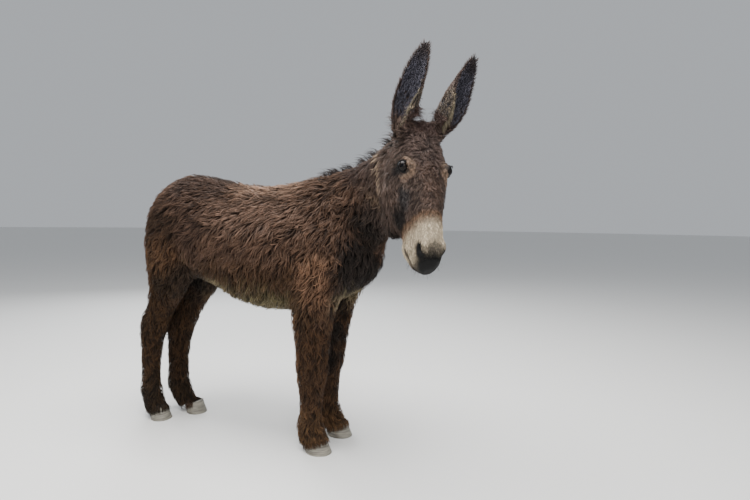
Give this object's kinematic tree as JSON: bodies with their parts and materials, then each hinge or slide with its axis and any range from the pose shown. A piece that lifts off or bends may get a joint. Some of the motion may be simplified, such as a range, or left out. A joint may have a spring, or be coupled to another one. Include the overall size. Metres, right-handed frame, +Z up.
{
  "type": "donkey",
  "caption": "Life-size still model of a shaggy dark brown donkey with a pale muzzle and long pricked ears, standing with its head lowered and turned to its right.",
  "frame": {"origin": "on the floor, under the middle of the donkey's bounding box", "axes": "+X forwards along the body, +Y to the donkey's left, +Z up"},
  "size_m": [1.8092, 0.7272, 1.7703],
  "materials": {
    "coat": "long shaggy dark brown hair with rusty lights and a pale belly",
    "muzzle": "short cream-grey hair, darkening to black lips",
    "ear": "dark hair, pale along the inner margin",
    "hoof": "grey-tan horn with growth rings",
    "eye": "wet dark brown eye"
  },
  "bodies": {
    "root": {"ear_left": "ear", "ear_right": "ear", "eye_left": "eye", "eye_right": "eye", "head": "coat", "hoof_fore_left": "hoof", "hoof_fore_right": "hoof", "hoof_hind_left": "hoof", "hoof_hind_right": "hoof", "leg_fore_left": "coat", "leg_fore_right": "coat", "leg_hind_left": "coat", "leg_hind_right": "coat", "muzzle": "muzzle", "neck": "coat", "tail": "coat", "trunk": "coat"}
  },
  "joints": []
}
